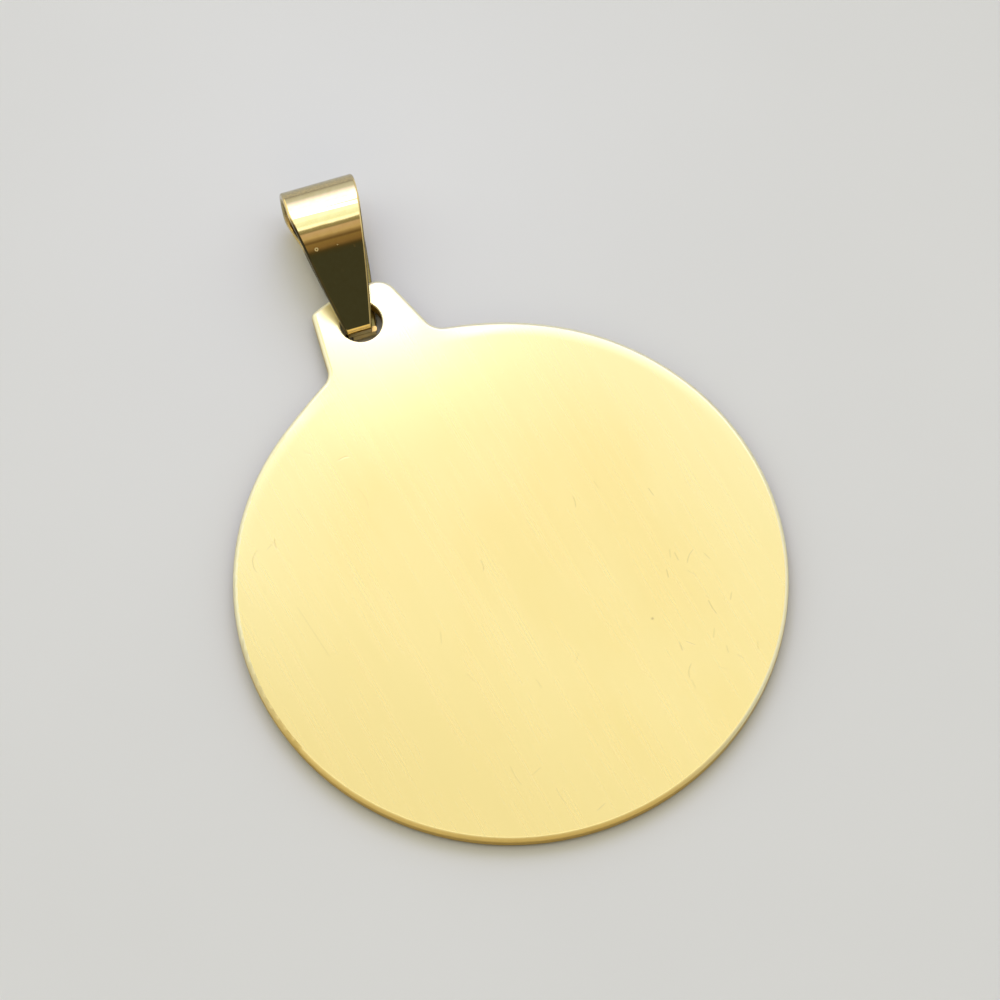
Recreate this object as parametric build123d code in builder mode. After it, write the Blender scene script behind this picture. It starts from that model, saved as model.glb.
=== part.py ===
from build123d import *
import os
from math import asin, atan2, cos, degrees, hypot, radians, sin, sqrt

# Medallion pendant: a plain round plate with a pierced tab, and a folded strip bail linked through it.
# It lies on a surface, face up. Sizes are in millimetres, +Z is up, and +Y runs from the disc to the bail.
# The two pieces are shaped about the disc's centre, and then set down with the origin under their middle.

# Plate
disc_diameter = 35.0
plate_thickness = 1.0
rim_rounding = 0.3

# Tab that stands out of the disc's edge. On each side of it the edge runs out into a foot, which begins at an
# angle from the plate's axis and has risen to its full height inside the tab.
tab_length = 4.9
tab_shift = 0.145
tab_root_half_width = 3.81
tab_top_half_width = 2.61
tab_crown_radius = 9.5
tab_left_corner = 0.4
tab_right_corner = 1.5
tab_left_root = 1.1
tab_right_root = 1.4
left_foot_start = 27.0
right_foot_start = 38.5
left_foot_rise = 0.58
right_foot_rise = 0.32
hole_diameter = 2.75
hole_rounding = 0.1
bar_width = 1.04

# Bail: a tapered strip, widest round the loop, with both ends bent inwards through the hole. It is folded a
# little askew, so the front half lies to the left of the back half, and the two meet at the loop's tip.
# The tip's straight sides begin at a share of the loop's radius beyond its centre.
strip_thickness = 0.38
strip_edge_rounding = 0.15
inner_bend_radius = 0.07
bail_length = 10.2
loop_diameter = 5.2
front_ease_radius = 12.0
front_ease_angle = 12.0
front_waist_width = 4.75
back_waist_width = 4.2
tip_width = 4.86
tip_share = 0.65
flank_bow = 0.1
flank_easing = 2.0
front_offset = 0.22
back_offset = 0.1
tip_offset = 0.15
seam_gap = 0.08

# Play between the two pieces, and how they lie
end_play = 1.07
hook_play = 0.16
hole_gap = 0.05
resting_gap = 0.05
bail_turn = 11.6
bail_shift = 0.07

# Two lengths or directions that differ by less than this are the same
same = 1e-6

disc_radius = disc_diameter / 2
hole_radius = hole_diameter / 2
loop_radius = loop_diameter / 2
tab_top = disc_radius + tab_length
hole_height = tab_top - bar_width - hole_radius

# The disc's far rim touches the surface, and the tab rests on the bail's back leg, which lies flat.
rim_contact = disc_radius - rim_rounding
bar_edge = hole_height + hole_radius
plate_tilt = asin((strip_thickness + resting_gap) / (rim_contact + bar_edge))
plate_plane = Plane(
    origin=(
        0,
        rim_contact * (cos(plate_tilt) - 1) + rim_rounding * sin(plate_tilt),
        rim_contact * sin(plate_tilt) + rim_rounding * (1 - cos(plate_tilt)),
    ),
    x_dir=(1, 0, 0),
    z_dir=(0, -sin(plate_tilt), cos(plate_tilt)),
)
plate_normal = Axis(plate_plane.origin, plate_plane.z_dir)

# Plate: the disc and its tab are one stamped blank with a rounded rim.
root_height = sqrt(disc_radius**2 - tab_root_half_width**2)
tab_lean = (tab_root_half_width - tab_top_half_width) / (tab_top - root_height)
crown_drop = tab_crown_radius - sqrt(tab_crown_radius**2 - tab_top_half_width**2)
shoulder_half_width = tab_top_half_width + tab_lean * crown_drop
shoulder_height = tab_top - crown_drop
base_half_width = tab_root_half_width + tab_lean * root_height / 2
base_height = root_height / 2
left_shoulder = (tab_shift - shoulder_half_width, shoulder_height)
right_shoulder = (tab_shift + shoulder_half_width, shoulder_height)
left_root = (tab_shift - tab_root_half_width, root_height)
right_root = (tab_shift + tab_root_half_width, root_height)
left_base = (tab_shift - base_half_width, base_height)
right_base = (tab_shift + base_half_width, base_height)


def beyond_disc(rise, angle):
    """The point some way outside the disc's edge, at an angle in degrees to the right of the plate's axis."""
    return ((disc_radius + rise) * sin(radians(angle)), (disc_radius + rise) * cos(radians(angle)))


# Each foot is an arc that leaves the disc's edge smoothly and ends inside the tab, at its crest.
inside_tab = degrees(asin(tab_top_half_width / disc_radius))
left_start = beyond_disc(0, -left_foot_start)
right_start = beyond_disc(0, right_foot_start)
left_crest = beyond_disc(left_foot_rise, -inside_tab)
right_crest = beyond_disc(right_foot_rise, inside_tab)
left_heading = (cos(radians(left_foot_start)), sin(radians(left_foot_start)))
right_heading = (-cos(radians(right_foot_start)), sin(radians(right_foot_start)))

with BuildPart() as plate:
    with BuildSketch(plate_plane) as blank:
        Circle(disc_radius)
        with BuildLine():
            Polyline(right_shoulder, right_base, left_base, left_shoulder)
            ThreePointArc(left_shoulder, (tab_shift, tab_top), right_shoulder)
        make_face()
        with BuildLine():
            TangentArc(left_start, left_crest, tangent=left_heading)
            TangentArc(right_start, right_crest, tangent=right_heading)
            Line(left_crest, right_crest)
            Polyline(left_start, (0, 0), right_start)
        make_face()
        fillet(blank.vertices().sort_by_distance(left_root)[0], tab_left_root)
        fillet(blank.vertices().sort_by_distance(right_root)[0], tab_right_root)
        fillet(blank.vertices().sort_by_distance(left_shoulder)[0], tab_left_corner)
        fillet(blank.vertices().sort_by_distance(right_shoulder)[0], tab_right_corner)
    extrude(amount=plate_thickness)
    rims = plate.edges().filter_by(plate_normal, reverse=True)
    fillet(rims, rim_rounding)
    with BuildSketch(plate_plane):
        with Locations((0, hole_height)):
            Circle(hole_radius)
    extrude(amount=plate_thickness, mode=Mode.SUBTRACT)
    circles = plate.edges().filter_by(GeomType.CIRCLE)
    hole_edges = circles.filter_by(lambda e: abs(e.radius - hole_radius) < same)
    fillet(hole_edges, hole_rounding)

# Bail, seen from its side: v runs along the back leg from the bent ends to the loop, and z is height.
# Every arc below is on the strip's middle line.
half_strip = strip_thickness / 2
hook_bend_radius = inner_bend_radius + strip_thickness
hook_height = plate_thickness + 2 * strip_thickness + hook_play
front_bend = (hook_bend_radius, hook_height - hook_bend_radius)
back_bend = (hook_bend_radius, hook_bend_radius)
loop_centre = (bail_length - loop_radius, loop_radius)
bend_line = hook_bend_radius - half_strip
loop_line = loop_radius - half_strip
ease_line = front_ease_radius - half_strip
seam_height = hook_height / 2


def around(centre, radius, angle):
    """The point at an angle, in degrees, on a circle."""
    return (centre[0] + radius * cos(radians(angle)), centre[1] + radius * sin(radians(angle)))


# The front leg is the straight line that touches the front bend and the eased side of the loop.
eased_reach = loop_radius + (front_ease_radius - loop_radius) * (1 - cos(radians(front_ease_angle)))
run = loop_centre[0] - front_bend[0]
rise = loop_centre[1] - front_bend[1]
leg_angle = degrees(atan2(rise, run) + asin((eased_reach - hook_bend_radius) / hypot(run, rise)))
leg_normal = leg_angle + 90
ease_end = leg_normal - front_ease_angle
ease_centre = around(loop_centre, loop_radius - front_ease_radius, ease_end)

# The bail lies turned from the plate's axis, pushed in until a corner of its front end meets the hole's wall.
turn = radians(bail_turn)
end_width = hole_diameter - end_play
corner_reach = end_width / 2 + front_offset + bail_shift
end_depth = sqrt((hole_radius - hole_gap) ** 2 - corner_reach**2)
bail_origin = (
    -bail_shift * cos(turn) - end_depth * sin(turn),
    hole_height + bail_shift * sin(turn) - end_depth * cos(turn),
    0,
)
bail_side = Plane(origin=bail_origin, x_dir=(sin(turn), cos(turn), 0), z_dir=(cos(turn), -sin(turn), 0))
bail_top = Plane(origin=bail_origin, x_dir=(cos(turn), -sin(turn), 0), z_dir=(0, 0, 1))


def outline_from_above(offset, waist_width):
    """One half's outline from above. Its leg lies to one side by an offset, and it ends at the loop's tip."""
    left_end, right_end = offset - end_width / 2, offset + end_width / 2
    left_waist, right_waist = offset - waist_width / 2, offset + waist_width / 2
    left_tip, right_tip = -tip_offset - tip_width / 2, -tip_offset + tip_width / 2
    waist_height = loop_centre[0]
    tip_height = waist_height + tip_share * loop_radius
    above = bail_length + strip_thickness
    below = -strip_thickness
    with BuildSketch(bail_top) as outline:
        with BuildLine():
            SagittaArc((right_end, 0), (right_waist, waist_height), -flank_bow)
            Polyline((right_waist, waist_height), (right_tip, tip_height), (right_tip, above))
            Line((right_tip, above), (left_tip, above))
            Polyline((left_tip, above), (left_tip, tip_height), (left_waist, waist_height))
            SagittaArc((left_waist, waist_height), (left_end, 0), -flank_bow)
            Polyline((left_end, 0), (left_end, below), (right_end, below), (right_end, 0))
        make_face()
        bent = outline.vertices().filter_by(lambda v: waist_height - same < v.Y < tip_height + same)
        fillet(bent, flank_easing)
    return outline.sketch


with BuildPart() as front_half:
    with BuildSketch(bail_side):
        with BuildLine():
            Line((half_strip, seam_height + seam_gap / 2), (half_strip, front_bend[1]))
            CenterArc(front_bend, bend_line, 180, leg_normal - 180)
            Line(around(front_bend, bend_line, leg_normal), around(ease_centre, ease_line, leg_normal))
            CenterArc(ease_centre, ease_line, leg_normal, -front_ease_angle)
            CenterArc(loop_centre, loop_line, ease_end, -ease_end)
        trace(line_width=strip_thickness)
    extrude(amount=tip_width, both=True)
    front_outline = outline_from_above(-front_offset, front_waist_width)
    extrude(front_outline, amount=2 * loop_diameter, mode=Mode.INTERSECT)

with BuildPart() as back_half:
    with BuildSketch(bail_side):
        with BuildLine():
            Line((half_strip, seam_height - seam_gap / 2), (half_strip, back_bend[1]))
            CenterArc(back_bend, bend_line, 180, 90)
            Line((back_bend[0], half_strip), (loop_centre[0], half_strip))
            CenterArc(loop_centre, loop_line, -90, 90)
        trace(line_width=strip_thickness)
    extrude(amount=tip_width, both=True)
    back_outline = outline_from_above(back_offset, back_waist_width)
    extrude(back_outline, amount=2 * loop_diameter, mode=Mode.INTERSECT)

# The two halves meet at the loop's tip. The strip's long edges are rounded, and its cut ends stay square.
across = bail_side.z_dir
with BuildPart() as strip:
    add(front_half.part)
    add(back_half.part)
    cut_ends = strip.faces().sort_by(lambda f: abs(f.center().Z - seam_height))[:2]
    wide_faces = strip.faces().filter_by(lambda f: abs(f.normal_at().dot(across)) < same) - cut_ends
    long_edges = wide_faces.edges().filter_by(lambda e: abs(e.tangent_at().dot(across)) < 1 - same)
    fillet(long_edges, strip_edge_rounding)

# The origin is under the middle of the whole part's bounding box.
whole = Compound([plate.part, strip.part]).bounding_box()
to_origin = Location((-whole.center().X, -whole.center().Y, -whole.min.Z))

with BuildPart() as medallion:
    with Locations(to_origin):
        add(plate.part)
medallion.part.label = "medallion"

with BuildPart() as bail:
    with Locations(to_origin):
        add(strip.part)
bail.part.label = "bail"

os.makedirs("parts", exist_ok=True)
export_step(medallion.part, "parts/medallion.step")
export_step(bail.part, "parts/bail.step")

print("size of the whole part", whole.size)
print("plate tilt in degrees", round(degrees(plate_tilt), 3), "front leg's angle", round(leg_angle, 2))
print("disc centre from the origin", round(-whole.center().Y, 3))
print("bail's ends", [round(x, 3) for x in bail_origin])
print("volumes", round(medallion.part.volume, 2), round(bail.part.volume, 2))
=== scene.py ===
# %% [markdown]
# # A gold medallion pendant
# The pendant is two pieces of gold-plated metal. One is a stamped disc with a pierced tab, and the
# other is a folded strip, the bail, which hangs in the tab's hole. Both come finished from the CAD
# model, in metres and lying where they lie in the photograph. They could be modelled again here, but
# their outlines, rims and bends are right already, so this lesson leaves the solids alone and works
# on light, camera and finish.

from math import cos, pi, radians, sin

import bpy
from mathutils import Matrix, Vector


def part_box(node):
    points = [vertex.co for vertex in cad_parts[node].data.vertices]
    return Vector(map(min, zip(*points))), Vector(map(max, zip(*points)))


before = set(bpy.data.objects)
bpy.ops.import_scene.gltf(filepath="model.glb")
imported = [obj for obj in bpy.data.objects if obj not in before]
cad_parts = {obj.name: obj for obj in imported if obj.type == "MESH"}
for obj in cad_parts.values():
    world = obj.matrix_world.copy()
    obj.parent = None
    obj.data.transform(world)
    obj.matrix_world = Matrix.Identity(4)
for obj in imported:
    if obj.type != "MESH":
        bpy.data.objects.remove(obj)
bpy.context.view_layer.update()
scene = bpy.context.scene
mm = 0.001
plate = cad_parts["medallion"]
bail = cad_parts["bail"]
for solid in (plate, bail):
    print(solid.name, "has", len(solid.data.vertices), "vertices")

# %% [markdown]
# ## The camera
# The photographer stood in front of the pendant and looked down steeply, from a little to the left.
# The view could be found by eye, but the disc's outline and the hole's circle give it exactly: a
# circle seen at a slant is an ellipse, and its two widths say how steep the view is. The lens is
# long, because the disc's far half is drawn hardly smaller than its near half.

# %% Find the photographer's place
azimuth = radians(-26.386)
elevation = radians(67.623)
roll = radians(-2.548)
looked_at = Vector((1.936, -1.239, 1.0)) * mm
camera_distance = 300 * mm

forward = Vector((-sin(azimuth) * cos(elevation), cos(azimuth) * cos(elevation), -sin(elevation)))
level = Vector((cos(azimuth), sin(azimuth), 0))
steep = level.cross(forward)
right = cos(roll) * level + sin(roll) * steep
above = cos(roll) * steep - sin(roll) * level
camera_place = looked_at - camera_distance * forward
print("camera", round(camera_place.z / mm), "mm above the floor")

# %% Put a camera there
image_size = 1000
focal_pixels = 4733.9
sensor_width = 36.0

lens = bpy.data.cameras.new("camera")
lens.sensor_width = sensor_width
lens.lens = focal_pixels * sensor_width / image_size
lens.clip_start = 5 * mm
camera = bpy.data.objects.new("camera", lens)
turned = Matrix((right, above, -forward)).transposed().to_4x4()
camera.matrix_world = Matrix.Translation(camera_place) @ turned
scene.collection.objects.link(camera)
scene.camera = camera
scene.view_settings.view_transform = "Standard"
print("lens", round(lens.lens, 1), "mm")

# %% [markdown]
# ## Writing shaders as sums
# A finish is a net of small nodes. They could be placed by hand in the node editor, one box at a
# time, but a sum is easier to read than a row of boxes. The class below holds one output of a node.
# Written sums and products of such outputs add their Math nodes by themselves, and the method `node`
# adds any other kind.

# %% Colours for sockets and ramps
def with_alpha(colour):
    """A plain colour with the fourth number that a colour socket takes. A link stays as it is."""
    return (*colour, 1) if isinstance(colour, tuple) else colour


def fill_ramp(ramp, stops):
    """Gives a colour ramp its stops, each a position from 0 to 1 and a colour."""
    while len(ramp.elements) < len(stops):
        ramp.elements.new(1.0)
    for element, (position, colour) in zip(ramp.elements, stops):
        element.position = position
        element.color = with_alpha(colour)


print("a colour for a socket:", with_alpha((1.0, 0.8, 0.3)))

# %% A socket that can be added and multiplied
class Wire:
    """One output of a node, or a bare node tree to start from."""

    def __init__(self, tree, socket=None):
        self.tree = tree
        self.socket = socket

    def node(self, kind, settings, inputs, output=0):
        """Adds a node, with its settings first and then the values or links of its sockets."""
        made = self.tree.nodes.new(kind)
        for name, value in settings.items():
            if name == "stops":
                fill_ramp(made.color_ramp, value)
            else:
                setattr(made, name, value)
        for name, value in inputs.items():
            if isinstance(value, Wire):
                self.tree.links.new(value.socket, made.inputs[name])
            else:
                made.inputs[name].default_value = value
        return Wire(self.tree, made.outputs[output] if made.outputs else None)

    def math(self, operation, *values):
        """One operation on numbers."""
        return self.node("ShaderNodeMath", {"operation": operation}, dict(enumerate(values)))

    def vector(self, operation, *values):
        """One operation on vectors, which gives a number where its name says so."""
        output = "Value" if operation in ("DOT_PRODUCT", "LENGTH", "DISTANCE") else "Vector"
        settings = {"operation": operation}
        return self.node("ShaderNodeVectorMath", settings, dict(enumerate(values)), output)

    def __add__(self, other):
        return self.math("ADD", self, other)

    def __sub__(self, other):
        return self.math("SUBTRACT", self, other)

    def __mul__(self, other):
        return self.math("MULTIPLY", self, other)

    __radd__ = __add__
    __rmul__ = __mul__

    def __abs__(self):
        return self.math("ABSOLUTE", self)

    def dot(self, direction):
        """How far this vector goes along a direction."""
        return self.vector("DOT_PRODUCT", self, tuple(direction))

    def step(self, start, end):
        """Goes softly from 0 to 1 while this output goes from start to end."""
        inputs = {"Value": self, "From Min": start, "From Max": end}
        return self.node("ShaderNodeMapRange", {"interpolation_type": "SMOOTHSTEP"}, inputs)

    def mix(self, first, second):
        """A colour that is the first where this output is 0 and the second where it is 1."""
        first_colour, second_colour, mixed_colour = 6, 7, 2
        inputs = {0: self, first_colour: with_alpha(first), second_colour: with_alpha(second)}
        return self.node("ShaderNodeMix", {"data_type": "RGBA"}, inputs, mixed_colour)


print("a wire can be added, multiplied, stepped and mixed")

# %% [markdown]
# ## The floor
# In a studio the pendant lies on a sheet of pale card. It is a plain square here, far larger than the
# pendant, and a hair lower than the bail's back leg, so that the two faces don't fight for the same
# place. Card isn't quite even, so a faint cloudiness goes into its colour.

# %% Lay the card
card_half_width = 700 * mm
card_drop = 0.02 * mm
card_corners = [(-1, -1), (1, -1), (1, 1), (-1, 1)]
card_points = [(x * card_half_width, y * card_half_width, -card_drop) for x, y in card_corners]
card_mesh = bpy.data.meshes.new("card")
card_mesh.from_pydata(card_points, [], [(0, 1, 2, 3)])
card = bpy.data.objects.new("card", card_mesh)
scene.collection.objects.link(card)
print("card", round(2 * card_half_width / mm), "mm wide")

# %% Colour the card
def new_finish(name):
    """An empty material, and a wire to start its shader from."""
    material = bpy.data.materials.new(name)
    material.use_nodes = True
    material.node_tree.nodes.clear()
    return material, Wire(material.node_tree)


def finish_with(start, shader_inputs):
    """Joins a shader with these inputs to the material's output."""
    shader = start.node("ShaderNodeBsdfPrincipled", {}, shader_inputs)
    start.node("ShaderNodeOutputMaterial", {}, {"Surface": shader})


darker_card = (0.75, 0.75, 0.63)
paler_card = (0.79, 0.79, 0.665)
cloud_scale = 40.0
card_roughness = 0.8

card_finish, start = new_finish("pale_card")
place = start.node("ShaderNodeTexCoord", {}, {}, "Object")
card_clouds = start.node("ShaderNodeTexNoise", {}, {"Vector": place, "Scale": cloud_scale, "Detail": 3.0})
finish_with(start, {"Base Color": card_clouds.mix(darker_card, paler_card), "Roughness": card_roughness})
card_mesh.materials.append(card_finish)
print("card finish has", len(card_finish.node_tree.nodes), "nodes")

# %% [markdown]
# ## The studio
# Polished metal has hardly a colour of its own: it shows the room. The bands across the bail's round
# loop are a list of what hung over the pendant, from its far side to its near side: a dim far wall, a
# bright cloth ceiling, the cloth's hem, and then the photographer's own side of the room, with a dark
# gap, two warm wooden edges and shade. The room could be built from panels, but a sky that is painted
# by direction gives the same reflections from every view, and it never stands in the camera's way.
# Each band has an angle in degrees, which is 0 straight above the pendant and grows toward the
# photographer.

# %% List the bands over the pendant
far_bands = [
    (-110, (0.20, 0.20, 0.20)),
    (-92, (0.32, 0.33, 0.36)),
    (-80, (0.55, 0.60, 0.80)),
    (-67, (0.66, 0.74, 1.05)),
    (-57, (1.20, 1.25, 2.10)),
    (-46, (1.90, 1.95, 3.30)),
    (-34, (1.90, 1.95, 3.30)),
    (-27, (0.94, 0.95, 0.95)),
    (-14, (0.79, 0.79, 0.75)),
    (-8, (1.50, 1.50, 1.80)),
    (-3, (1.60, 1.60, 1.85)),
    (3, (1.35, 1.45, 1.65)),
    (6, (1.20, 1.38, 1.60)),
]
near_bands = [
    (6.0, (1.20, 1.38, 1.60)),
    (8.1, (1.10, 1.31, 1.50)),
    (9.2, (1.02, 1.18, 1.25)),
    (9.5, (1.60, 1.70, 1.95)),
    (10.0, (1.60, 1.70, 1.95)),
    (10.3, (0.34, 0.32, 0.24)),
    (11.9, (0.27, 0.25, 0.19)),
    (12.6, (0.58, 0.46, 0.42)),
    (15.8, (0.55, 0.45, 0.33)),
    (16.8, (0.36, 0.28, 0.18)),
    (18.4, (0.16, 0.11, 0.06)),
    (19.0, (0.16, 0.11, 0.06)),
    (19.8, (0.25, 0.18, 0.09)),
    (22.6, (0.22, 0.15, 0.08)),
    (23.8, (0.07, 0.055, 0.03)),
    (24.6, (0.05, 0.05, 0.035)),
    (26.0, (0.048, 0.052, 0.043)),
]
low_bands = [
    (26.0, (0.048, 0.052, 0.043)),
    (40.0, (0.05, 0.055, 0.045)),
    (50.0, (0.90, 0.74, 0.42)),
    (62.0, (0.90, 0.74, 0.42)),
    (75.0, (0.60, 0.48, 0.30)),
    (90.0, (0.50, 0.42, 0.30)),
]
print(len(far_bands + near_bands + low_bands), "colours from the far wall to the near one")

# %% [markdown]
# A colour ramp keeps only 256 steps. One ramp for the whole sky would smear the narrow hem, so each
# list gets a ramp of its own range. A ramp also stops at a value of 1, so the colours go in divided
# by the brightest value and come out multiplied by it again.

# %% Paint the bands by angle
brightest = 3.5


def paint(angle, bands):
    """The colours of a list of bands, each an angle in degrees and a colour, at the angle of a wire."""
    first, last = bands[0][0], bands[-1][0]
    stops = []
    for turn, colour in bands:
        dimmed = tuple(part / brightest for part in colour)
        stops.append(((turn - first) / (last - first), dimmed))
    share = (angle - first) * (1 / (last - first))
    painted = angle.node("ShaderNodeValToRGB", {"stops": stops}, {"Fac": share})
    return painted.vector("MULTIPLY", painted, (brightest, brightest, brightest))


toward_camera = Vector((sin(azimuth), -cos(azimuth), 0))
sideways = level

world = bpy.data.worlds.new("studio")
scene.world = world
world.use_nodes = True
world.node_tree.nodes.clear()
start = Wire(world.node_tree)
looking = start.node("ShaderNodeTexCoord", {}, {}, "Generated")
upward = looking.dot((0, 0, 1))
tilt = start.math("ARCTAN2", looking.dot(toward_camera), upward) * (180 / pi)
near = start.math("GREATER_THAN", tilt, near_bands[0][0])
low = start.math("GREATER_THAN", tilt, low_bands[0][0])
bands = low.mix(near.mix(paint(tilt, far_bands), paint(tilt, near_bands)), paint(tilt, low_bands))
print("studio has", len(world.node_tree.nodes), "nodes so far")

# %% [markdown]
# The bands could run all round the room, but then the gold would turn white and brown by turns as the
# viewer walks round it. The bail is narrow and shows only the strip of sky above its own axis. So the
# bands stay in that strip, and plain pale walls stand beside it, which keep the gold looking like
# gold from every side.

# %% Stand plain walls beside the bands
left_wall_foot, left_wall_top = (1.05, 1.04, 0.98), (1.10, 1.10, 1.10)
right_wall_foot, right_wall_top = (0.75, 0.74, 0.70), (0.95, 0.95, 0.97)
near_wall = (0.42, 0.40, 0.36)
near_wall_angle = 30
strip_half_angle = radians(16)
wall_angle = radians(30)
backdrop_strength = 1.0

height = upward.step(0.0, 0.9)
left_wall = height.mix(left_wall_foot, left_wall_top)
right_wall = height.mix(right_wall_foot, right_wall_top)
rightward = looking.dot(sideways)
lit_walls = rightward.step(-0.3, 0.3).mix(left_wall, right_wall)
side_walls = tilt.step(0, near_wall_angle).mix(lit_walls, near_wall)
beside = abs(rightward).step(sin(strip_half_angle), sin(wall_angle))
room = beside.mix(bands, side_walls)
backdrop = start.node("ShaderNodeBackground", {}, {"Color": room, "Strength": backdrop_strength})
start.node("ShaderNodeOutputWorld", {}, {"Surface": backdrop})
print("studio has", len(world.node_tree.nodes), "nodes")

# %% [markdown]
# ## The lamp
# A small lamp with a cloth front hung close above the tab. It makes the tab and the loop almost
# white, and it fades over the disc, because from there its mirror image lies off to the side. A
# spotlight would leave no such image in the metal, so the lamp is a flat area light, with a second,
# smaller one under it.

# %% Hang the lamp
tab_place = Vector((-0.5, 15.0, 1.2)) * mm
lamp_radiance = 3.4
lamp_colour = (0.58, 0.60, 1.0)


def hang_lamp(name, height, away, width, depth):
    """Hangs a flat lamp over the tab, some way toward the room's far side, and faces it to the tab."""
    offset = Vector((0, 0, height)) - away * toward_camera
    data = bpy.data.lights.new(name, "AREA")
    data.shape = "RECTANGLE"
    data.size = width
    data.size_y = depth
    data.color = lamp_colour
    data.energy = lamp_radiance * pi * width * depth
    lamp = bpy.data.objects.new(name, data)
    backward = offset.normalized()
    turned = Matrix((sideways, backward.cross(sideways), backward)).transposed().to_4x4()
    lamp.matrix_world = Matrix.Translation(tab_place + offset) @ turned
    lamp.visible_camera = False
    scene.collection.objects.link(lamp)
    print(name, round(data.energy, 5), "W")


hang_lamp("lamp", height=50 * mm, away=28.5 * mm, width=14.5 * mm, depth=14 * mm)
hang_lamp("strip_lamp", height=18 * mm, away=8.6 * mm, width=9 * mm, depth=3 * mm)

# %% [markdown]
# ## Brushed gold for the plate
# The plate was drawn under a belt of fine grit along its length, then plated, and the pendant has
# been handled. So its gold has fine straight lines, faint clouds where the plating is thinner, and a
# few short nicks. The lines could be a picture, but stretched noise gives them at any size and needs
# no picture.

# %% Draw the lines and clouds
def start_finish(name):
    """A new material, its first wire, and the place on the piece in millimetres."""
    material, first = new_finish(name)
    metres = first.node("ShaderNodeTexCoord", {}, {}, "Object")
    return material, first, metres.vector("MULTIPLY", metres, (1 / mm, 1 / mm, 1 / mm))


def stretched_noise(place, scale, detail, roughness=0.5):
    """Noise with its own scale along each axis, in features per millimetre."""
    moved = place.vector("MULTIPLY", place, scale)
    inputs = {"Vector": moved, "Scale": 1.0, "Detail": detail, "Roughness": roughness}
    return place.node("ShaderNodeTexNoise", {}, inputs)


plate_finish, start, place = start_finish("brushed_gold")
fine_lines = stretched_noise(place, (9.0, 0.35, 1.0), 3.0, 0.6)
long_lines = stretched_noise(place, (2.2, 0.06, 1.0), 2.0)
clouds = stretched_noise(place, (0.16, 0.10, 0.1), 3.0)
print("plate finish has", len(plate_finish.node_tree.nodes), "nodes so far")

# %% [markdown]
# ## Nicks
# The photograph shows where this pendant has been touched by keys and coins: short curved nicks, most
# of them near the right edge, and one pinhole. Random scratches would do for a crowd of pendants, but
# this one has its own, so each is placed by the two pixels between which it runs. A ray from the
# camera through a pixel meets the plate at the nick's end, and from then on the nick belongs to the
# metal and stays there in every view.

# %% Find a pixel's place on the plate
flat_face = max((f for f in plate.data.polygons if f.normal.z > 0.9), key=lambda f: f.area)


def on_face(face, pixel):
    """The place on a flat face, in millimetres, that a pixel of the photograph shows."""
    from_middle = (pixel[0] + 0.5 - image_size / 2, image_size / 2 - pixel[1] - 0.5)
    ray = focal_pixels * forward + from_middle[0] * right + from_middle[1] * above
    reach = (face.center - camera_place).dot(face.normal) / ray.dot(face.normal)
    return (camera_place + reach * ray) / mm


def on_plate(pixel):
    """The place on the plate's flat face that a pixel shows."""
    return on_face(flat_face, pixel)


print("the middle of the picture shows", [round(c, 2) for c in on_plate((500, 500))])

# %% List the nicks
# Each runs from one pixel to another, bows to one side by some pixels, and has a depth from 0 to 1.
nicks = {
    "left_hook": ((258, 549), (256, 572), 5.0, 0.8),
    "left_tick": ((274, 539), (276, 548), 0.5, 1.0),
    "left_tick_tail": ((273, 542), (267, 549), 0.0, 0.5),
    "upper_left_bow": ((338, 460), (348, 456), -1.0, 0.8),
    "upper_left_smudge": ((303, 451), (310, 454), 0.0, 0.5),
    "long_scrape": ((297, 607), (329, 656), 0.0, 0.3),
    "left_scrape": ((296, 509), (308, 525), 0.0, 0.25),
    "left_crescent": ((358, 489), (368, 508), -2.0, 0.25),
    "middle_bow": ((480, 560), (483, 570), -1.0, 0.8),
    "middle_line": ((440, 632), (441, 643), 0.0, 0.4),
    "middle_smudge": ((466, 673), (474, 681), 0.0, 0.4),
    "lower_tick": ((578, 653), (575, 662), 0.0, 0.5),
    "lower_spot": ((536, 679), (541, 687), 0.0, 0.35),
    "lower_smudge": ((510, 766), (521, 784), 1.0, 0.45),
    "lower_bow": ((531, 775), (540, 767), 0.0, 0.5),
    "lower_scrape": ((556, 788), (566, 803), 1.0, 0.4),
    "bottom_tick": ((597, 810), (604, 803), 0.0, 0.8),
    "top_line": ((572, 496), (575, 507), -1.0, 0.7),
    "top_hair": ((593, 480), (598, 488), 0.0, 0.5),
    "top_tick": ((648, 488), (653, 495), 0.0, 0.8),
    "right_pair_left": ((669, 549), (670, 557), 0.0, 0.5),
    "right_pair_right": ((674, 552), (678, 560), 0.0, 0.7),
    "right_bow": ((693, 549), (687, 562), 1.5, 0.7),
    "right_tick": ((704, 553), (709, 558), 0.0, 0.6),
    "right_dash": ((666, 569), (668, 577), 0.0, 0.9),
    "right_hair": ((687, 570), (696, 575), 0.0, 0.4),
    "deep_cut": ((708, 600), (716, 613), 0.5, 1.0),
    "deep_cut_tail": ((705, 595), (709, 598), 0.0, 0.4),
    "edge_tick": ((731, 592), (730, 599), 0.0, 0.6),
    "edge_hair": ((714, 628), (713, 637), 0.0, 0.5),
    "far_edge_tick": ((757, 641), (758, 649), 0.0, 0.6),
    "low_dash": ((679, 642), (682, 650), 0.0, 1.0),
    "low_dash_tail": ((686, 641), (694, 644), 0.0, 0.9),
    "low_tick": ((726, 645), (728, 652), 0.0, 0.5),
    "low_spot": ((737, 654), (742, 657), 0.0, 0.6),
    "low_bow": ((691, 663), (689, 677), 1.5, 0.6),
    "low_bow_tail": ((691, 679), (695, 687), 0.0, 0.4),
    "low_hair": ((718, 666), (728, 669), 0.0, 0.4),
}
print(len(nicks), "nicks")

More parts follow.
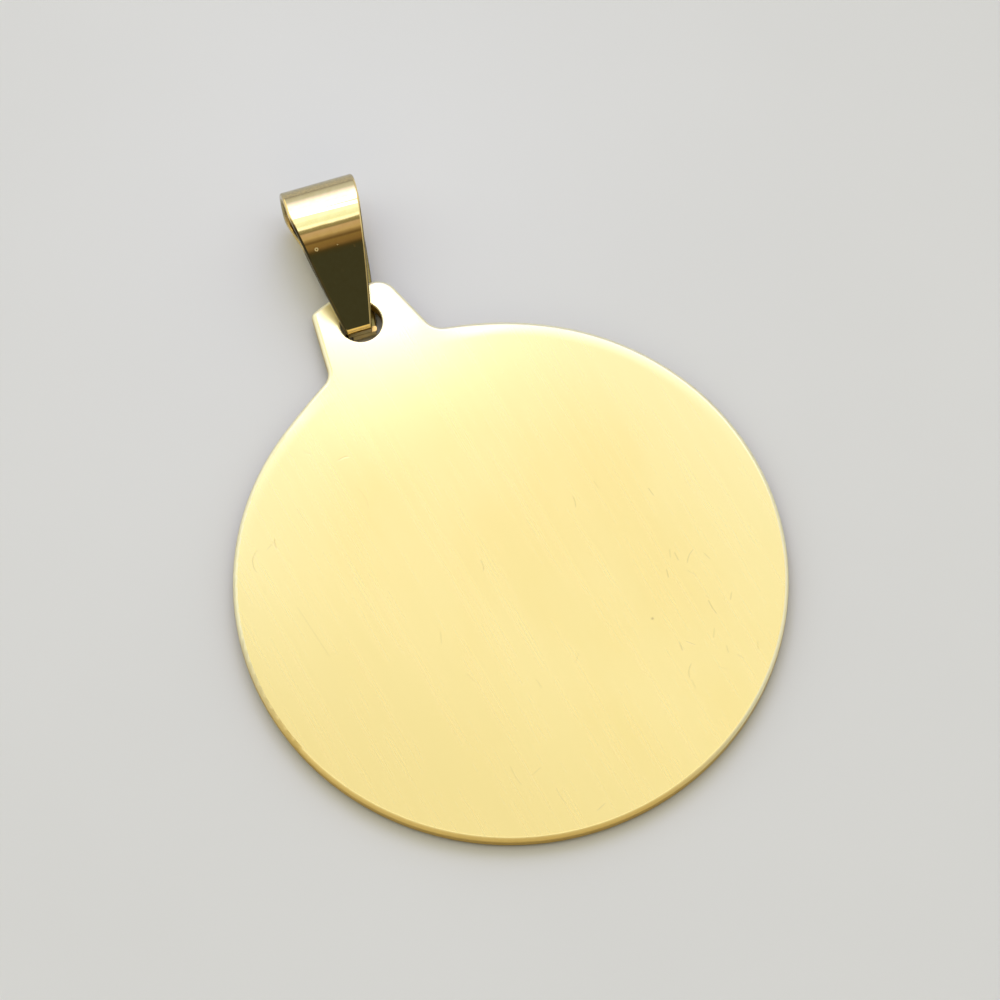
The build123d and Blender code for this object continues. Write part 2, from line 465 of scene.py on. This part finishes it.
# %% Cut the nicks
nick_width = 0.075
nick_fade = 0.05
pixels_per_mm = 16.3


def cut_nick(place, from_pixel, to_pixel, bow, depth):
    """A mask that is the nick's depth along a slightly bowed line and 0 elsewhere."""
    start_point, end_point = on_plate(from_pixel), on_plate(to_pixel)
    half_length = (end_point - start_point).length / 2
    along = (end_point - start_point).normalized()
    across = along.cross(flat_face.normal)
    middle = (start_point + end_point) / 2
    run = place.dot(along) - middle.dot(along)
    aside = place.dot(across) - middle.dot(across)
    if bow:
        rise = bow / pixels_per_mm
        aside = aside + rise / half_length**2 * (run * run) - rise
    length_share = abs(run).step(half_length + nick_fade, half_length)
    width_share = abs(aside).step(nick_width, 0.0)
    return depth * length_share * width_share


nick_mask = 0.0
for nick in nicks.values():
    nick_mask = nick_mask + cut_nick(place, *nick)
print("plate finish has", len(plate_finish.node_tree.nodes), "nodes so far")

# %% Prick the pinhole
pinhole_pixel = (652, 618)
pinhole_radius = 0.15

pinhole_distance = place.vector("DISTANCE", place, tuple(on_plate(pinhole_pixel)))
pinhole = pinhole_distance.step(pinhole_radius, 0.1 * pinhole_radius)
print("pinhole at", [round(c, 2) for c in on_plate(pinhole_pixel)])

# %% [markdown]
# ## Edges, wear and painted light
# The belt rolls over at the plate's edge, so the flat face leans a little in its last millimetre.
# That lean is too slight to model, but the light shows it, so it goes into the bump. It fades toward
# the disc's lower side, and it stops where the tab joins the disc.

# %% Lean the edge
disc_middle_x = (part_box("medallion")[0][0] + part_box("medallion")[1][0]) / 2 / mm
disc_middle_y = -6.15
disc_radius = 17.5
tab_half_angle = radians(16)
lean_width = 1.0
lean_slope = 0.14

from_centre = place.vector("SUBTRACT", place, (disc_middle_x, disc_middle_y, 0))
flat_offset = from_centre.vector("MULTIPLY", from_centre, (1, 1, 0))
radius = flat_offset.vector("LENGTH", flat_offset)
beyond = start.math("MAXIMUM", radius - (disc_radius - lean_width), 0.0)
around = flat_offset.vector("NORMALIZE", flat_offset)
toward_tab = around.dot((0, 1, 0))
clear_of_tab = toward_tab.step(cos(0.6 * tab_half_angle), cos(1.4 * tab_half_angle))
rolled_over = toward_tab.step(-0.3, 0.6) * clear_of_tab
lean = (-lean_slope / (2 * lean_width)) * beyond * beyond * rolled_over
print("the edge leans over", lean_width, "mm")

# %% [markdown]
# The rim was stamped and not brushed. Its rounding gets a pale painted highlight, and on the lower
# side it is rougher and gets painted shade instead, deeper in colour. The rim's wall and the underside
# are painted darker as shade. Masks for this come from the way the surface faces: the flat face looks
# straight up, the rounding leans, and the rim's wall looks sideways.

# %% Mask the rim, the rubbed place and the painted light and shade
# `facing` is 1 where the metal looks straight up, 0 on the rim's wall and -1 underneath.
lower_side_direction = (-0.61, -0.79, 0)
# The painted shade on the disc darkens it toward this direction.
painted_shade_direction = (-0.77, -0.64, 0)
rub_pixel = (333, 306)
rub_radius = 1.6

facing = start.node("ShaderNodeNewGeometry", {}, {}, "Normal").dot((0, 0, 1))
rounding = facing.step(0.998, 0.975)
rim = facing.step(0.998, 0.92)
# Painted shade on the rim's wall.
shaded_wall = facing.step(0.6, 0.05)
underside = facing.step(0.1, -0.35)
lower_side = around.dot(lower_side_direction).step(0.3, 0.8)
rub_distance = place.vector("DISTANCE", place, tuple(on_plate(rub_pixel)))
rubbed = rub_distance.step(rub_radius, 0.3 * rub_radius)
# Painted light: the disc's outer band is made paler, except toward its bottom.
painted_light_band = radius.step(9.0, 18.0) * toward_tab.step(-1.0, 0.1)
# Painted shade: the disc's gold darkens toward its lower left side.
painted_shade_side = flat_offset.dot(painted_shade_direction).step(3.0, 17.0)
print("rubbed place at", [round(c, 2) for c in on_plate(rub_pixel)])

# %% [markdown]
# ## The plate's gold
# Plating isn't one colour. It is deeper where it is thin, and browner in a nick. Painted light makes
# the disc paler toward its outer band, except toward its bottom, and painted shade makes it darker
# toward its lower left side. One flat gold would look like paint, so the colour is mixed from these
# golds with the masks. The roughness follows the brushed lines, and where the bail's leg rubs, on the
# tab's left shoulder, the gold has lost some of its shine.

# %% Mix the plate's colour
pale_gold = (0.955, 0.79, 0.312)
deep_gold = (0.945, 0.77, 0.290)
# The paler gold of the painted light on the outer band.
painted_light_gold = (0.965, 0.83, 0.355)
# The darker gold of the painted shade toward the lower left.
painted_shade_gold = (0.89, 0.725, 0.272)
# A painted highlight on the rim's rounding, and painted shade on its lower side.
painted_highlight_rim_gold = (0.99, 0.93, 0.60)
painted_shade_rim_gold = (0.92, 0.73, 0.27)
# The darker gold of the painted shade on the rim's wall.
painted_shade_wall_gold = (0.66, 0.47, 0.14)
# Painted shade on the plate's underside.
painted_shade_under_gold = (0.25, 0.16, 0.04)
nick_brown = (0.55, 0.42, 0.16)

thin_plating = clouds.step(0.35, 0.7)
middle_gold = thin_plating.mix(pale_gold, deep_gold)
face_gold = painted_shade_side.mix(painted_light_band.mix(middle_gold, painted_light_gold), painted_shade_gold)
nicked_gold = (0.4 * nick_mask + 0.65 * pinhole).mix(face_gold, nick_brown)
# Painted highlight on the rim's rounding, painted shade on its lower side.
painted_rim_light_and_shade = lower_side.mix(painted_highlight_rim_gold, painted_shade_rim_gold)
# The rim's wall gets painted shade.
side_gold = shaded_wall.mix(rim.mix(nicked_gold, painted_rim_light_and_shade), painted_shade_wall_gold)
# The underside is painted dark as shade.
plate_colour = underside.mix(side_gold, painted_shade_under_gold)
print("plate finish has", len(plate_finish.node_tree.nodes), "nodes so far")

# %% Put the plate's finish together
brushed_roughness = 0.27
line_relief = 0.0004
nick_relief = 0.004

line_roughness = 0.03 * (long_lines - 0.5) + 0.02 * (fine_lines - 0.5)
rim_roughness = 0.12 * rim + 0.33 * lower_side * rounding
plate_roughness = brushed_roughness + line_roughness + rim_roughness + 0.2 * rubbed
relief = line_relief * fine_lines + line_relief * long_lines - nick_relief * nick_mask + lean
grain = start.node("ShaderNodeBump", {}, {"Strength": 1.0, "Distance": mm, "Height": relief})
plate_inputs = {
    "Base Color": plate_colour,
    "Metallic": 1.0,
    "Roughness": plate_roughness,
    "Normal": grain,
}
finish_with(start, plate_inputs)
plate.material_slots[0].material = plate_finish
print("plate finish has", len(plate_finish.node_tree.nodes), "nodes")

# %% [markdown]
# ## Polished gold for the bail
# The bail was tumbled until it shone, so its roughness is low. A perfect mirror looks like plastic or
# glass in a render, so the finish keeps a very slight waviness from the bending, and a little haze
# from wear.

# %% Start the bail's finish
bail_finish, start, place = start_finish("polished_gold")
waves = stretched_noise(place, (0.5, 0.5, 0.5), 2.0)
haze = stretched_noise(place, (3.0, 3.0, 3.0), 4.0)
specks = stretched_noise(place, (7.0, 7.0, 7.0), 2.0)
print("bail finish has", len(bail_finish.node_tree.nodes), "nodes so far")

# %% [markdown]
# The plating has a few pits, which the photograph shows as light specks, the largest of them as a
# ring. A pit could be a dent in the mesh, but at a tenth of a millimetre only its walls show, because
# they scatter the light. So each is a small ring of rough gold, placed by its pixel like the nicks.

# %% Pit the front leg
# Each has its pixel, its radius in millimetres, and how rough it is, from 0 to 1. The leg's face is the
# largest one that leans toward the photographer.
pits = {
    "ring": ((316, 249), 0.15, 0.8),
    "upper_pit": ((337, 244), 0.06, 0.6),
    "right_pit": ((354, 245), 0.09, 0.2),
    "middle_pit": ((342, 270), 0.07, 0.25),
    "lower_pit": ((334, 282), 0.07, 0.2),
}
leg_face = max((f for f in bail.data.polygons if f.normal.dot(toward_camera) > 0.2), key=lambda f: f.area)


def cut_pit(place, pixel, pit_radius, depth):
    """A mask that is the pit's depth on its walls, and 0 on its floor and outside it."""
    distance = place.vector("DISTANCE", place, tuple(on_face(leg_face, pixel)))
    return depth * distance.step(pit_radius, 0.7 * pit_radius) * distance.step(0.0, 0.6 * pit_radius)


pit_mask = 0.0
for pit in pits.values():
    pit_mask = pit_mask + cut_pit(place, *pit)
print(len(pits), "pits on a leg face at", [round(c / mm, 2) for c in leg_face.center])

# %% [markdown]
# ## Wear and painted shade on the bail
# A chain rubs the bail's round tip, so the plating there is dull and patchy, and painted shade darkens
# its colour there, most of all at the very end. The long edges of the leg are painted dark as shade,
# most of all the left one. The flat bar in the tab's hole and the inside of the loop were never
# polished, so they are rougher, and painted shade darkens their colour. All these places are found by
# how far along the bail they lie, how high they are, and which way they face.

# %% Mask the worn and unpolished places and the painted shade
# Lengths and heights are in millimetres, and each mask goes from 0 to 1 between its two values.
bail_turn = radians(11.6)
bail_length = 10.2
bail_ends = Vector((-0.208, 13.171, 0.0))
leg_start, leg_end = 6.5, 7.5
bar_height = 1.0
inner_height = 0.6

bail_along = Vector((sin(bail_turn), cos(bail_turn), 0.0))
bail_across = bail_along.cross(Vector((0, 0, 1)))
along_bail = place.dot(bail_along) - bail_ends.dot(bail_along)
height = place.dot((0, 0, 1))
bail_normal = start.node("ShaderNodeNewGeometry", {}, {}, "Normal")
upward = bail_normal.dot((0, 0, 1))
patches = 0.7 + 0.3 * specks.step(0.35, 0.65)
# Painted shade darkens the tip's colour. Its wear makes it rougher and patchy.
worn_and_shaded_tip = along_bail.step(bail_length - 1.5, bail_length - 1.05) * patches
painted_shade_tip_end = along_bail.step(bail_length - 1.1, bail_length - 0.6)
leg_only = along_bail.step(leg_end, leg_start)
# Painted shade darkens the leg's long edges, the left one most.
shaded_cut_edge = abs(bail_normal.dot(bail_across)).step(0.25, 0.7) * leg_only
shaded_left_cut_edge = bail_normal.dot(-bail_across).step(0.08, 0.35) * leg_only
# Painted shade darkens the inside of the loop, which is also a little rougher.
inner = upward.step(0.8, 0.95) * height.step(inner_height, 0.8 * inner_height)
# Painted shade darkens the bar's top, which is also rougher.
bar_top = upward.step(0.93, 0.99) * height.step(1.15 * bar_height, bar_height)
print("bail finish has", len(bail_finish.node_tree.nodes), "nodes so far")

# %% Mix the bail's colour
bail_gold = (0.93, 0.73, 0.31)
hazy_gold = (0.89, 0.68, 0.27)
# The tip's golds are painted shade, with patchy wear.
worn_and_shaded_gold = (0.56, 0.46, 0.26)
painted_shade_tip_gold = (0.36, 0.31, 0.17)
# Painted shade on the leg's long edges.
painted_shade_cut_gold = (0.17, 0.135, 0.055)
painted_shade_left_cut_gold = (0.10, 0.08, 0.035)
# Painted shade on the bar's top.
painted_shade_bar_gold = (0.52, 0.34, 0.09)
# Painted shade on the inside of the loop.
painted_shade_inner_gold = (0.22, 0.18, 0.045)

shiny_gold = haze.step(0.3, 0.8).mix(bail_gold, hazy_gold)
face_colour = worn_and_shaded_tip.mix(shiny_gold, painted_shade_tip_end.mix(worn_and_shaded_gold, painted_shade_tip_gold))
edged_colour = shaded_left_cut_edge.mix(shaded_cut_edge.mix(face_colour, painted_shade_cut_gold), painted_shade_left_cut_gold)
outside_colour = bar_top.mix(edged_colour, painted_shade_bar_gold)
bail_colour = inner.mix(outside_colour, painted_shade_inner_gold)
print("bail finish has", len(bail_finish.node_tree.nodes), "nodes so far")

# %% Put the bail's finish together
mirror_roughness = 0.02
wave_depth = 0.01 * mm

unpolished = 0.25 * bar_top + 0.05 * inner
bail_roughness = mirror_roughness + 0.03 * haze + 0.18 * worn_and_shaded_tip + unpolished + 0.5 * pit_mask
wavy = start.node("ShaderNodeBump", {}, {"Strength": 0.2, "Distance": wave_depth, "Height": waves})
bail_inputs = {
    "Base Color": bail_colour,
    "Metallic": 1.0,
    "Roughness": bail_roughness,
    "Normal": wavy,
}
finish_with(start, bail_inputs)
bail.material_slots[0].material = bail_finish
print("bail finish has", len(bail_finish.node_tree.nodes), "nodes")
